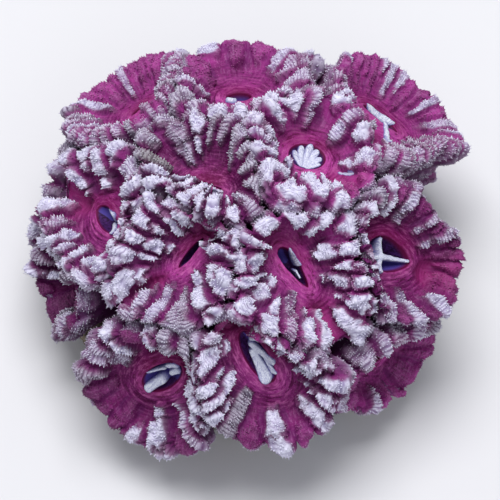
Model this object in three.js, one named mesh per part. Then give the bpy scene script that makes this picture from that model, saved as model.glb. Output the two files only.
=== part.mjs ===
// Acan coral: a domed colony of fleshy polyps that grow on one stony skeleton, sawn flat underneath.
// Each polyp is a cup with a mouth in its sunken disc, a raised rim of radial ridges and a tapering stalk.
// Units are millimetres and +Z is up. The origin is on the sawn face, under the middle of the dome.
// Seen along +Y, the front, +X is to the right.

import * as THREE from "three";

// The dome that the crests of the rims lie on: an ellipsoid, whose centre is the point all the polyps
// grow from
const DOME_HALF_WIDTH = 31.5;
const DOME_HALF_DEPTH = 32;
const DOME_RISE = 25.5;
const DOME_CENTRE_HEIGHT = 8.5;

// A polyp's profile, from its mouth out: the lip, the disc, the foot of the ridges, their shoulder, their
// crest and the polyp's edge. share is the way from the lip to the edge, and depth is below the crest.
const PROFILE = [
  { share: 0, depth: 4.5 },
  { share: 0.26, depth: 4.6 },
  { share: 0.46, depth: 3 },
  { share: 0.64, depth: 0.9 },
  { share: 0.82, depth: 0 },
  { share: 1, depth: 2.2 },
];

// The mouth's pit narrows below the lip, and the stalk narrows to its foot on the skeleton
const PIT_DEPTH = 8;
const PIT_SHARE = 0.6;
const STALK_SHARE = 0.9;
const STALK_FOOT_LEVEL = 0.62;

// Creases between neighbouring polyps, the rounding of the corners where three of them meet, and how far a
// free edge spreads beyond the polyp's size
const CREASE_WIDTH = 0.5;
const CORNER_SHARPNESS = 16;
const FREE_REACH = 1.2;

// How high a ridge stands over the grooves beside it, how deep the grooves are cut, over how much of the
// way to the edge both grow to full size, and how far a ridge's end juts out over theirs
const RIDGE_HEIGHT = 1.7;
const GROOVE_DEPTH = 0.9;
const RIDGE_RUN = 0.45;
const RIDGE_JUT = 0.05;

// Ridges by letter, with how swollen they are and where on the way to the edge they start: W swollen, V
// swollen and close to the mouth, S only on the outer rim, w thinner, g and e fingers, m low and o hardly
// there
const RIDGES = {
  W: { swelling: 1, start: 0.2 },
  V: { swelling: 1, start: 0.06 },
  S: { swelling: 0.9, start: 0.38 },
  w: { swelling: 0.85, start: 0.26 },
  g: { swelling: 0.8, start: 0.24 },
  e: { swelling: 0.8, start: 0.24 },
  m: { swelling: 0.5, start: 0.32 },
  o: { swelling: 0.1, start: 0.5 },
};

// The skeleton: its core under the polyps' feet and the bare wall that rises where none of them grows,
// both as shares of the dome's radius. The wall keeps clear of the polyps' edges by an angle and takes
// another to rise.
const CORE_LEVEL = 0.59;
const WALL_LEVEL = 0.84;
const WALL_CLEARANCE = 6;
const WALL_RISE_ANGLE = 6;
const SKELETON_SIDES = 30;
const SKELETON_TILTS = [32, 55, 68, 78, 88, 99, 110];

// The skeleton's sawn foot, with rings at its top, its widest place and the cut
const FOOT_RADIUS = 18.5;
const FOOT_RINGS = [{ height: 2.4, bulge: 1.2 }, { height: 1.2, bulge: 1.4 }, { height: 0, bulge: 0 }];
const FOOT_LUMPS = [{ around: 3, size: 0.6, start: 40 }, { around: 7, size: 0.4, start: 100 }];

// The polyps. bearing runs anticlockwise from +X and tilt down from the vertical, in degrees, to the
// polyp's middle. size is the half-angle that it claims against its neighbours, lift moves its whole cup
// out from the dome, and reach replaces the free reach. A mouth's at is its offset to the right and up
// the polyp's face, half is its half length and half width, turn is its slit's angle, and taper narrows
// it towards that angle. lean raises the rim towards an angle and sinks it on the far side, a notch folds
// the edge in, and dips lower the rim where a valley runs on out of the cup. ridges has one letter for each
// ridge, anticlockwise from the right.
const POLYPS = [
  {
    name: "polyp_back", bearing: 96, tilt: 32, size: 18, lift: 1.02,
    lean: { angle: 90, rise: 0, sink: 2.6 },
    mouth: { at: [0.2, -0.3], half: [2.1, 1.5], turn: 0 }, ridges: "mwmmmmmmwgwWWwWw",
  },
  {
    name: "polyp_back_right", bearing: 31, tilt: 55, size: 19.5, lift: 1.06,
    lean: { angle: 65, rise: 2.2, sink: 3 }, notch: { angle: -36, depth: 0.5, width: 28 },
    dips: [{ angle: 270, depth: 1.5, width: 24 }],
    mouth: { at: [-1.6, 1.9], half: [3.5, 1.7], turn: -5 }, ridges: "wwwmWmWmmwmmwmmomwgg",
  },
  {
    name: "polyp_crown_right", bearing: 16, tilt: 18, size: 17.5, reach: 1.7,
    dips: [{ angle: -35, depth: 1.5, width: 12 }],
    mouth: { at: [0.55, 1.1], half: [3.9, 2.6], turn: 5 }, ridges: "WWwWwWWWwWVVVVmW",
  },
  {
    name: "polyp_crown_left", bearing: -170, tilt: 12, size: 14.5, reach: 1.7,
    mouth: { at: [0.2, -1.2], half: [2, 0.3], turn: -25 }, ridges: "gggggWweeVVwVVVVwg",
  },
  {
    name: "polyp_back_left", bearing: 136, tilt: 52, size: 18, lift: 1.04,
    lean: { angle: 115, rise: 0.4, sink: 3 },
    mouth: { at: [0.4, -1], half: [1.8, 0.8], turn: 30 }, ridges: "gwgmmmmmmmwgwggmgw",
  },
  {
    name: "polyp_left", bearing: -170, tilt: 47.5, size: 17, lift: 1.01,
    lean: { angle: 160, rise: 0, sink: 2 }, notch: { angle: -7, depth: 0.1, width: 7 },
    dips: [{ angle: 148, depth: 1.5, width: 12 }],
    mouth: { at: [0.3, -0.5], half: [3.6, 2], turn: -38 }, ridges: "WWwWWWWoWmWmVWVVWW",
  },
  {
    name: "polyp_centre_left", bearing: -131, tilt: 36, size: 16.5, lift: 0.98, reach: 1.7,
    dips: [{ angle: 208, depth: 2, width: 9 }, { angle: 48, depth: 1.6, width: 12 }],
    mouth: { at: [2.6, 1], half: [3.4, 0.4], turn: 51 }, ridges: "VVmVVVVVmVVVVV",
  },
  {
    name: "polyp_centre", bearing: -62, tilt: 41, size: 20, reach: 1.5,
    lean: { angle: 180, rise: 0, sink: 1.5 }, dips: [{ angle: -62, depth: 3.2, width: 14 }],
    mouth: { at: [-2.1, 3.1], half: [4.1, 1.1], turn: -57, taper: 0.5 }, ridges: "WWWSSSSWWWWWwWWmWW",
  },
  {
    name: "polyp_right", bearing: -22, tilt: 53, size: 19.5, lift: 1.06, reach: 1.08,
    lean: { angle: 0, rise: 0, sink: 2.4 }, notch: { angle: 46, depth: 0.4, width: 34 },
    dips: [{ angle: -22, depth: 1.5, width: 14 }],
    mouth: { at: [-2.2, -0.6], half: [4.5, 2.6], turn: -14, taper: 0.4 },
    ridges: "mmwmwmwmWgWooooomSSmSmSmmm",
  },
  {
    name: "polyp_front_left", bearing: -117, tilt: 74, size: 18, lift: 1.05,
    lean: { angle: 270, rise: 0.4, sink: 2.6 },
    mouth: { at: [0.6, 0.8], half: [4.8, 2.1], turn: 53 }, ridges: "WWWggWmWwgmmmSWmwW",
  },
  {
    name: "polyp_front", bearing: -86, tilt: 64, size: 18, lift: 1.06,
    lean: { angle: 270, rise: 0.4, sink: 1.6 }, dips: [{ angle: 112, depth: 3, width: 20 }],
    mouth: { at: [-0.6, 3.2], half: [5.2, 1.7], turn: -64 }, ridges: "WWWWWomWWWWWgmSmSW",
  },
  {
    name: "polyp_front_right", bearing: -48, tilt: 84, size: 15, lift: 0.97,
    mouth: { at: [0, -0.5], half: [2, 1.2], turn: -30 }, ridges: "mgwgwgmmowmmmm",
  },
  {
    name: "polyp_left_low", bearing: -160, tilt: 75, size: 14, lift: 0.97, reach: 1.25,
    mouth: { at: [0, 0], half: [1.5, 0.9], turn: 0 }, ridges: "ggWwWgWmmmmw",
  },
  {
    name: "polyp_rear_left_low", bearing: 161, tilt: 84, size: 14, lift: 0.98, reach: 1.35,
    mouth: { at: [0, 0], half: [1.8, 0.8], turn: 20 }, ridges: "WwmWgmWwWmwWgW",
  },
  {
    name: "polyp_rear_left", bearing: 121, tilt: 84, size: 15, lift: 0.98, reach: 1.35,
    mouth: { at: [0, 0], half: [2.2, 1], turn: -15 }, ridges: "mWwWmWgWmWwWWm",
  },
  {
    name: "polyp_rear", bearing: 83, tilt: 82, size: 15.5, lift: 0.97, reach: 1.3,
    mouth: { at: [0, 0], half: [2.4, 1.1], turn: 10 }, ridges: "WmWwmWgWWmWwWg",
  },
  {
    name: "polyp_rear_right", bearing: 45, tilt: 90, size: 13.5, lift: 0.97, reach: 1.35,
    mouth: { at: [0, 0], half: [1.8, 0.9], turn: -30 }, ridges: "wWmWmgWwWmgWWm",
  },
];

// The lean of a polyp whose rim is level
const LEVEL = { angle: 0, rise: 0, sink: 0 };

const FLESH = { color: 0x8a2a60, roughness: 0.6 };
const STONE = { color: 0x9a8a74, roughness: 0.95 };

const DOME_CENTRE = new THREE.Vector3(0, 0, DOME_CENTRE_HEIGHT);
const DOME_SEMI_AXES = new THREE.Vector3(DOME_HALF_WIDTH, DOME_HALF_DEPTH, DOME_RISE);
const MEAN_RADIUS = (DOME_HALF_WIDTH + DOME_HALF_DEPTH + DOME_RISE) / 3;
const radians = THREE.MathUtils.degToRad;
const smoothstep = THREE.MathUtils.smoothstep;

// Unit vector at a bearing and a tilt, both in degrees, in the dome's own stretched space.
function directionAt(bearing, tilt) {
  const out = Math.sin(radians(tilt));
  return new THREE.Vector3(
    out * Math.cos(radians(bearing)), out * Math.sin(radians(bearing)), Math.cos(radians(tilt)));
}

// Point out from the dome's centre in a direction: at a share of the dome's radius there, plus millimetres.
function pointAt(direction, level, millimetres) {
  const ray = direction.clone().multiply(DOME_SEMI_AXES);
  return ray.multiplyScalar(level + millimetres / ray.length()).add(DOME_CENTRE);
}

// A polyp's axes: out of its face, to its right and up its face.
function faceOf(polyp) {
  const out = directionAt(polyp.bearing, polyp.tilt);
  const right = new THREE.Vector3(1, 0, 0).addScaledVector(out, -out.x).normalize();
  return { out, right, up: out.clone().cross(right) };
}

// Direction through a place on the flat plane that touches the unit sphere at the polyp's middle.
function directionThrough(face, x, y) {
  return face.out.clone().addScaledVector(face.right, x).addScaledVector(face.up, y).normalize();
}

// How far a polyp's edge is from its middle, on that plane: to the straight border with each neighbour or
// to its own reach, whichever is nearest, with the corners rounded and half a crease taken off.
function edgeDistance(polyp, face, angle) {
  const claim = Math.cos(radians(polyp.size));
  const borders = [Math.tan(radians(polyp.size * (polyp.reach ?? FREE_REACH)))];
  for (const other of POLYPS) {
    if (other === polyp) continue;
    const away = directionAt(other.bearing, other.tilt);
    const slope = away.dot(face.right) * Math.cos(angle) + away.dot(face.up) * Math.sin(angle);
    if (slope > 0) borders.push((Math.cos(radians(other.size)) / claim - away.dot(face.out)) / slope);
  }
  const rounded = borders.reduce((sum, d) => sum + d ** -CORNER_SHARPNESS, 0) ** (-1 / CORNER_SHARPNESS);
  const folded = polyp.notch ? hollowAt(polyp.notch, angle) : 0;
  return (rounded - CREASE_WIDTH / 2 / MEAN_RADIUS) * (1 - folded);
}

// How much of a hollow's depth there is at an angle: a bell curve round its middle, of its width in degrees.
function hollowAt(hollow, angle) {
  const away = Math.cos(angle - radians(hollow.angle)) - 1;
  return hollow.depth * Math.exp(2 * away / radians(hollow.width) ** 2);
}

// Millimetres by which a polyp's rim is raised at an angle by its lean and lowered by its dips.
function riseAt(polyp, angle) {
  const { angle: towards, rise, sink } = polyp.lean ?? LEVEL;
  const leaning = smoothstep(Math.cos(angle - radians(towards)), -1, 1) * (rise + sink) - sink;
  return (polyp.dips ?? []).reduce((sum, dip) => sum - hollowAt(dip, angle), leaning);
}

// Place on the plane of the mouth's lip, an ellipse turned along the slit, or an egg if it tapers.
function lipPlace(mouth, angle) {
  const turn = radians(mouth.turn);
  const narrowing = 1 - (mouth.taper ?? 0) * Math.cos(angle - turn);
  const along = Math.cos(angle - turn) * mouth.half[0];
  const across = Math.sin(angle - turn) * mouth.half[1] * narrowing;
  return [
    (mouth.at[0] + along * Math.cos(turn) - across * Math.sin(turn)) / MEAN_RADIUS,
    (mouth.at[1] + along * Math.sin(turn) + across * Math.cos(turn)) / MEAN_RADIUS,
  ];
}

// One polyp as a closed surface: rings from the floor of its mouth over the rim and down its stalk to the
// foot. Every ring has one place on the crown of each ridge and one in the groove after it.
function polypGeometry(polyp) {
  const face = faceOf(polyp);
  const lift = polyp.lift ?? 1;
  const count = polyp.ridges.length * 2;
  const middle = polyp.mouth.at.map((mm) => mm / MEAN_RADIUS);
  const spokes = [];
  for (let k = 0; k < count; k += 1) {
    const angle = 2 * Math.PI * k / count;
    const crown = k % 2 === 0;
    const { swelling, start } = RIDGES[polyp.ridges[Math.floor(k / 2)]];
    const edge = edgeDistance(polyp, face, angle) * (crown ? 1 : 1 - RIDGE_JUT);
    spokes.push({
      lip: lipPlace(polyp.mouth, angle),
      rim: [edge * Math.cos(angle), edge * Math.sin(angle)],
      ridge: (crown ? RIDGE_HEIGHT * swelling : 0) - GROOVE_DEPTH,
      start,
      rise: riseAt(polyp, angle),
    });
  }

  const profileRings = PROFILE.map(({ share, depth }) => spokes.map(({ lip, rim, ridge, start, rise }) => {
    const place = lip.map((from, axis) => from + (rim[axis] - from) * share);
    const grown = smoothstep(share, start, start + RIDGE_RUN);
    return pointAt(directionThrough(face, ...place), lift, rise * share - depth + ridge * grown);
  }));
  const pit = spokes.map(({ lip }) => {
    const place = lip.map((from, axis) => middle[axis] + (from - middle[axis]) * PIT_SHARE);
    return pointAt(directionThrough(face, ...place), lift, -PIT_DEPTH);
  });
  const foot = spokes.map(({ rim }) => (
    pointAt(directionThrough(face, rim[0] * STALK_SHARE, rim[1] * STALK_SHARE), STALK_FOOT_LEVEL, 0)));

  const pitMiddle = pointAt(directionThrough(face, ...middle), lift, -PIT_DEPTH);
  const footMiddle = pointAt(face.out, STALK_FOOT_LEVEL, 0);
  return closedSurface(pitMiddle, [pit, ...profileRings, foot], footMiddle);
}

// Closed surface through rings of equal length, with a point that closes each end. Seen from outside
// above the first point, the rings run anticlockwise.
function closedSurface(first, rings, last) {
  const sides = rings[0].length;
  const points = [first, ...rings.flat(), last];
  const at = (r, k) => 1 + r * sides + k % sides;
  const index = [];
  for (let k = 0; k < sides; k += 1) {
    index.push(0, at(0, k), at(0, k + 1));
    for (let r = 0; r + 1 < rings.length; r += 1) {
      index.push(at(r, k), at(r + 1, k), at(r + 1, k + 1));
      index.push(at(r, k), at(r + 1, k + 1), at(r, k + 1));
    }
    index.push(points.length - 1, at(rings.length - 1, k + 1), at(rings.length - 1, k));
  }
  const geometry = new THREE.BufferGeometry().setFromPoints(points);
  geometry.setIndex(index);
  return geometry;
}

// Angle in degrees by which a direction is clear of the nearest polyp's edge.
function clearanceAt(direction) {
  return Math.min(...POLYPS.map((polyp) => {
    const face = faceOf(polyp);
    const angle = Math.atan2(direction.dot(face.up), direction.dot(face.right));
    const edge = Math.atan(edgeDistance(polyp, face, angle));
    return THREE.MathUtils.radToDeg(direction.angleTo(face.out) - edge);
  }));
}

// The skeleton: a core under the feet of the polyps that rises to a bare wall where none of them grows,
// on a lumpy foot.
function skeletonGeometry() {
  const bearings = Array.from({ length: SKELETON_SIDES }, (_, k) => 360 * k / SKELETON_SIDES);
  const footRing = ({ height, bulge }) => bearings.map((bearing) => {
    const lumps = FOOT_LUMPS.reduce(
      (sum, { around, size, start }) => sum + size * Math.sin(radians(around * bearing + start)), 0);
    const radius = FOOT_RADIUS + bulge + lumps;
    return new THREE.Vector3(
      radius * Math.cos(radians(bearing)), radius * Math.sin(radians(bearing)), height);
  });
  const coreRing = (tilt) => bearings.map((bearing) => {
    const direction = directionAt(bearing, tilt);
    const rise = smoothstep(clearanceAt(direction), WALL_CLEARANCE, WALL_CLEARANCE + WALL_RISE_ANGLE);
    return pointAt(direction, CORE_LEVEL + (WALL_LEVEL - CORE_LEVEL) * rise, 0);
  });
  const rings = [...SKELETON_TILTS.map(coreRing), ...FOOT_RINGS.map(footRing)];
  return closedSurface(pointAt(directionAt(0, 0), CORE_LEVEL, 0), rings, new THREE.Vector3(0, 0, 0));
}

const coral = new THREE.Group();
coral.name = "acan_coral";

const skeleton = new THREE.Mesh(skeletonGeometry(), new THREE.MeshStandardMaterial(STONE));
skeleton.name = "skeleton_base";
coral.add(skeleton);

for (const polyp of POLYPS) {
  const mesh = new THREE.Mesh(polypGeometry(polyp), new THREE.MeshStandardMaterial(FLESH));
  mesh.name = polyp.name;
  coral.add(mesh);
}

export default coral;
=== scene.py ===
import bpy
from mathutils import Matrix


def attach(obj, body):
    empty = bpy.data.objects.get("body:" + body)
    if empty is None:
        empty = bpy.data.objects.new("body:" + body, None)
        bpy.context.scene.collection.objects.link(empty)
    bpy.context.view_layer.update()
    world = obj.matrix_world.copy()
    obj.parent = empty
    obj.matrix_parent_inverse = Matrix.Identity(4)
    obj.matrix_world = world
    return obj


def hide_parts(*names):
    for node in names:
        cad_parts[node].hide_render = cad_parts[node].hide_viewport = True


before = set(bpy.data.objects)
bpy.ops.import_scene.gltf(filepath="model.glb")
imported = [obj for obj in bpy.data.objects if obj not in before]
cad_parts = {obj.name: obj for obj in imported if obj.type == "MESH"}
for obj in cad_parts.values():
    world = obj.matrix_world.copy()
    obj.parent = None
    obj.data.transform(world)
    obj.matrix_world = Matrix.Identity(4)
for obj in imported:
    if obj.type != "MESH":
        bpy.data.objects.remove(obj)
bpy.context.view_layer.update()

from types import SimpleNamespace

import bpy
import numpy as np
from mathutils import Vector


# The skeleton
# The coral's own limestone: a domed core that the stalks of all the polyps stand on, sawn flat underneath.
# It rises to a bare wall where no polyp grows, and a thin blue-grey growth covers some of the pitted stone.

MM = 0.001
DOME_CENTRE = np.array([0.0, 0.0, 8.5])
DOME_SEMI_AXES = np.array([31.5, 32.0, 25.5])
MEAN_RADIUS = DOME_SEMI_AXES.mean()

# Where each polyp grows, in degrees: its bearing from +X, its tilt from the vertical and the half-angle that
# it claims against its neighbours. Then the level that its rim is lifted to, as a share of the dome's
# radius, and how far a free edge reaches, as a share of its half-angle.
FREE_REACH = 1.2
SITES = {
    "polyp_back": dict(bearing=96, tilt=32, size=18, lift=1.02),
    "polyp_back_right": dict(bearing=31, tilt=55, size=19.5, lift=1.06),
    "polyp_crown_right": dict(bearing=16, tilt=18, size=17.5, reach=1.7),
    "polyp_crown_left": dict(bearing=-170, tilt=12, size=14.5, reach=1.7),
    "polyp_back_left": dict(bearing=136, tilt=52, size=18, lift=1.04, reach=1.1),
    "polyp_left": dict(bearing=-170, tilt=47.5, size=17, lift=1.01, reach=1.27),
    "polyp_centre_left": dict(bearing=-131, tilt=36, size=16.5, lift=0.98, reach=1.7),
    "polyp_centre": dict(bearing=-62, tilt=41, size=20, reach=1.5),
    "polyp_right": dict(bearing=-22, tilt=53, size=19.5, lift=1.06, reach=1.08),
    "polyp_front_left": dict(bearing=-117, tilt=74, size=18, lift=1.05),
    "polyp_front": dict(bearing=-86, tilt=64, size=18, lift=1.06),
    "polyp_front_right": dict(bearing=-46, tilt=82.5, size=15, lift=0.97, reach=1.3),
    "polyp_left_low": dict(bearing=-160, tilt=74, size=14, lift=0.97, reach=1.08),
    "polyp_rear_left_low": dict(bearing=161, tilt=84, size=14, lift=0.98, reach=1.35),
    "polyp_rear_left": dict(bearing=121, tilt=84, size=15, lift=0.98, reach=1.35),
    "polyp_rear": dict(bearing=83, tilt=82, size=15.5, lift=0.97, reach=1.3),
    "polyp_rear_right": dict(bearing=45, tilt=90, size=13.5, lift=0.97, reach=1.35),
}
# Where an edge is notched: the angle on the face and the width, in degrees, and the share that is cut away
NOTCHES = {
    "polyp_back_right": dict(angle=-25, depth=0.46, width=36),
    "polyp_crown_right": dict(angle=-2, depth=0.12, width=14),
    "polyp_right": dict(angle=46, depth=0.4, width=34),
    "polyp_front_left": dict(angle=-30, depth=0.17, width=13),
    "polyp_front": dict(angle=-120, depth=0.14, width=13),
    "polyp_front_right": dict(angle=-104, depth=0.34, width=42),
    "polyp_left": dict(angle=-7, depth=0.14, width=9),
    "polyp_crown_left": dict(angle=214, depth=0.24, width=13),
}
CREASE_WIDTH = 0.2
CORNER_SHARPNESS = 24


def smoothstep(low, high, x):
    """0 below low, 1 above high, and 3u^2 - 2u^3 between, with u the share of the way."""
    u = np.clip((x - low) / (high - low), 0, 1)
    return u * u * (3 - 2 * u)


def direction_at(bearing, tilt):
    """Unit vectors at bearings and tilts in degrees: sin(tilt) towards the bearing, cos(tilt) up."""
    bearing, tilt = np.radians(bearing), np.radians(tilt)
    out = np.sin(tilt)
    return np.stack([out * np.cos(bearing), out * np.sin(bearing), np.cos(tilt) + 0 * bearing], -1)


def point_at(directions, level, millimetres=0.0):
    """Points out from the dome's centre, at a share of the dome's radius that way plus millimetres."""
    rays = directions * DOME_SEMI_AXES
    length = np.linalg.norm(rays, axis=-1)
    return DOME_CENTRE + rays * (level + millimetres / length)[..., None]


def face_of(name):
    """A polyp's axes: out of its face, to its right and up its face."""
    out = direction_at(SITES[name]["bearing"], SITES[name]["tilt"])
    right = np.array([1.0, 0.0, 0.0]) - out[0] * out
    right /= np.linalg.norm(right)
    return out, right, np.cross(out, right)


def bell(angle, centre, width):
    """A bump on a circle: 1 at its centre, and a bell curve of its width to both sides, both in degrees."""
    away = np.cos(angle - np.radians(centre)) - 1
    return np.exp(2 * away / np.radians(width) ** 2)


def edge_distance(name, angle):
    """How far a polyp's edge is from its middle, on the plane that touches the unit sphere there: to the
    straight border with each neighbour or to its own reach, whichever is nearest, with corners rounded by a
    sum of powers, less half a crease and any notch."""
    site = SITES[name]
    out, right, up = face_of(name)
    claim = np.cos(np.radians(site["size"]))
    free = np.tan(np.radians(site["size"] * site.get("reach", FREE_REACH)))
    total = np.full(np.shape(angle), free ** -CORNER_SHARPNESS)
    for other, far in SITES.items():
        if other == name:
            continue
        away = direction_at(far["bearing"], far["tilt"])
        slope = away @ right * np.cos(angle) + away @ up * np.sin(angle)
        border = (np.cos(np.radians(far["size"])) / claim - away @ out) / np.maximum(slope, 1e-6)
        total = total + np.where(slope > 0, border ** -CORNER_SHARPNESS, 0)
    rounded = total ** (-1 / CORNER_SHARPNESS) - CREASE_WIDTH / 2 / MEAN_RADIUS
    if name in NOTCHES:
        notch = NOTCHES[name]
        rounded = rounded * (1 - notch["depth"] * bell(angle, notch["angle"], notch["width"]))
    return rounded


def clearance(directions):
    """Degrees by which directions are clear of the edge of the nearest polyp."""
    nearest = np.full(directions.shape[:-1], 180.0)
    for name in SITES:
        out, right, up = face_of(name)
        angle = np.arctan2(directions @ up, directions @ right)
        apart = np.arccos(np.clip(directions @ out, -1, 1)) - np.arctan(edge_distance(name, angle))
        nearest = np.minimum(nearest, np.degrees(apart))
    return nearest


def waves(points, length, seed, octaves=5):
    """Soft noise of about -1 to 1: a sum of sine waves in random directions, each about length long."""
    draw = np.random.default_rng(seed)
    total = 0
    for _ in range(octaves):
        heading = draw.normal(size=3)
        heading *= 2 * np.pi / length * draw.uniform(0.7, 1.4) / np.linalg.norm(heading)
        total = total + np.sin(points @ heading + draw.uniform(0, 2 * np.pi))
    return total / np.sqrt(octaves)


# Numbers with no pattern between them, so that the cells come out in no order
SCATTER_STEPS = np.array([12.9898, 78.233, 37.719])
SCATTER_SEED_STEP = 4.137
SCATTER_GAIN = 43758.5453


def scatter(cells, seed):
    """A repeatable random number in 0 to 1 for each whole-numbered cell: the fraction of a large sine."""
    mixed = cells @ SCATTER_STEPS[:cells.shape[-1]] + seed * SCATTER_SEED_STEP
    return np.modf(np.abs(np.sin(mixed) * SCATTER_GAIN))[0]


def buds(places, seed, jitter=0.8):
    """The nearest to each place of a set of jittered points, one in each cell of a unit grid: how far it is,
    and which cell it is in."""
    size = places.shape[-1]
    home = np.floor(places)
    nearest = np.full(places.shape[:-1], 9.0)
    owner = home.copy()
    for step in np.ndindex(*[3] * size):
        cell = home + np.array(step) - 1
        shift = np.stack([scatter(cell, seed + 7 * axis) for axis in range(size)], -1)
        apart = np.linalg.norm(places - cell - 0.5 - jitter * (shift - 0.5), axis=-1)
        owner = np.where((apart < nearest)[..., None], cell, owner)
        nearest = np.minimum(nearest, apart)
    return nearest, owner


def normals_of(rings):
    """Outward unit normals of a surface of rings: the step between rings crossed with the step around."""
    along = np.gradient(rings, axis=0)
    around = np.roll(rings, -1, 1) - np.roll(rings, 1, 1)
    normal = np.cross(along, around)
    return normal / np.maximum(np.linalg.norm(normal, axis=-1, keepdims=True), 1e-9)


def closed_shell(first, rings, last, attributes):
    """A closed surface through rings of equal length, in millimetres, with a point that closes each end.
    An attribute has a value for each place on the rings, and the end ring's mean at each closing point."""
    count, sides, _ = rings.shape
    points = np.concatenate([[first], rings.reshape(-1, 3), [last]])
    place = 1 + np.arange(count * sides).reshape(count, sides)
    after = np.roll(place, -1, 1)
    quads = np.stack([place[:-1], place[1:], after[1:], after[:-1]], -1).reshape(-1, 4)
    start = np.stack([0 * place[0], place[0], after[0]], -1)
    end = np.stack([0 * place[0] + len(points) - 1, after[-1], place[-1]], -1)
    corners = np.concatenate([start.ravel(), quads.ravel(), end.ravel()])
    sizes = np.concatenate([np.full(sides, 3), np.full(len(quads), 4), np.full(sides, 3)])
    flat = {}
    for label, values in attributes.items():
        ends = [values[:1].mean(1), values[-1:].mean(1)]
        flat[label] = np.concatenate([ends[0], values.reshape((-1,) + values.shape[2:]), ends[1]])
    return dict(points=points, corners=corners, sizes=sizes, attributes=flat)


def joined_piece(name, shells):
    """One mesh object made of closed shells that all have the same attributes."""
    points = np.concatenate([shell["points"] for shell in shells]) * MM
    starts = np.cumsum([0] + [len(shell["points"]) for shell in shells])
    corners = np.concatenate([shell["corners"] + start for shell, start in zip(shells, starts)])
    sizes = np.concatenate([shell["sizes"] for shell in shells])
    mesh = bpy.data.meshes.new(name)
    mesh.vertices.add(len(points))
    mesh.vertices.foreach_set("co", points.ravel())
    mesh.loops.add(len(corners))
    mesh.loops.foreach_set("vertex_index", corners.astype(np.int32))
    mesh.polygons.add(len(sizes))
    mesh.polygons.foreach_set("loop_start", (np.cumsum(sizes) - sizes).astype(np.int32))
    mesh.update(calc_edges=True)
    mesh.shade_smooth()
    for label in shells[0]["attributes"]:
        values = np.concatenate([shell["attributes"][label] for shell in shells])
        vector = values.ndim > 1
        layer = mesh.attributes.new(label, "FLOAT_VECTOR" if vector else "FLOAT", "POINT")
        layer.data.foreach_set("vector" if vector else "value", values.astype(np.float32).ravel())
    piece = bpy.data.objects.new(name, mesh)
    bpy.context.scene.collection.objects.link(piece)
    return piece


class Shade:
    """One output socket of a material's nodes. Arithmetic on it adds Math nodes."""

    def __init__(self, tree, output=None):
        self.tree = tree
        self.output = output

    def add(self, kind, settings=None, inputs=None, output=0):
        """Adds a node of a kind with its settings, then its inputs' values or links, and gives an output."""
        node = self.tree.nodes.new(kind)
        for key, value in (settings or {}).items():
            setattr(node, key, value)
        for key, value in (inputs or {}).items():
            if isinstance(value, Shade):
                self.tree.links.new(value.output, node.inputs[key])
            else:
                node.inputs[key].default_value = value
        return Shade(self.tree, node.outputs[output])

    def math(self, operation, *values):
        return self.add("ShaderNodeMath", {"operation": operation}, dict(enumerate(values)))

    def __add__(self, other):
        return self.math("ADD", self, other)

    def __radd__(self, other):
        return self.math("ADD", other, self)

    def __sub__(self, other):
        return self.math("SUBTRACT", self, other)

    def __rsub__(self, other):
        return self.math("SUBTRACT", other, self)

    def __mul__(self, other):
        return self.math("MULTIPLY", self, other)

    def __rmul__(self, other):
        return self.math("MULTIPLY", other, self)

    def attribute(self, label):
        """The value of one of the mesh's own attributes."""
        return self.add("ShaderNodeAttribute", {"attribute_name": label}, output="Fac")

    def between(self, low, high):
        """0 where this is below low, 1 above high, and smooth between."""
        return self.add("ShaderNodeMapRange", {"interpolation_type": "SMOOTHSTEP"},
                        {"Value": self, "From Min": low, "From Max": high})

    def blend(self, first, second):
        """Mixes two colours by this value."""
        return self.add("ShaderNodeMix", {"data_type": "RGBA"}, {0: self, 6: first, 7: second}, output=2)

    def stretched(self, *factors):
        """A vector times a factor along each of its axes."""
        return self.add("ShaderNodeVectorMath", {"operation": "MULTIPLY"}, {0: self, 1: factors})

    def noise(self, size, detail=2.0, place=None):
        """Soft noise of 0 to 1 with lumps of about size millimetres, or in the units of a place given."""
        if place is None:
            place = self.add("ShaderNodeTexCoord", output="Object")
            size = size * MM
        return self.add("ShaderNodeTexNoise", None,
                        {"Vector": place, "Scale": 1 / size, "Detail": detail, "Roughness": 0.6}, output=0)


def srgb(red, green, blue):
    """A colour given as it looks on a screen, 0 to 255, as the linear colour that shaders take."""
    share = np.array([red, green, blue]) / 255
    linear = np.where(share < 0.04045, share / 12.92, ((share + 0.055) / 1.055) ** 2.4)
    return (*linear.tolist(), 1.0)


def new_material(name, roughness, specular):
    """A material with a Principled shader: its Shade to add nodes by, and its shader node."""
    material = bpy.data.materials.new(name)
    material.use_nodes = True
    shader = material.node_tree.nodes["Principled BSDF"]
    shader.inputs["Roughness"].default_value = roughness
    shader.inputs["Specular IOR Level"].default_value = specular
    return material, Shade(material.node_tree), shader


def plug(shader, label, shade):
    """Links a Shade to one of the shader's inputs."""
    shader.id_data.links.new(shade.output, shader.inputs[label])


def bumpy(shade, height, strength, depth):
    """A normal bumped by a height of 0 to 1, for a relief of so many metres."""
    return shade.add("ShaderNodeBump", None, {"Strength": strength, "Distance": depth, "Height": height})


# The core and the wall: levels on the dome, degrees clear of the polyps, and tilts in degrees
CORE_LEVEL = 0.59
WALL_LEVEL = 0.84
WALL_CLEARANCE = 3
WALL_RISE_ANGLE = 7
CORE_TILTS = (4, 112)
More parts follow.
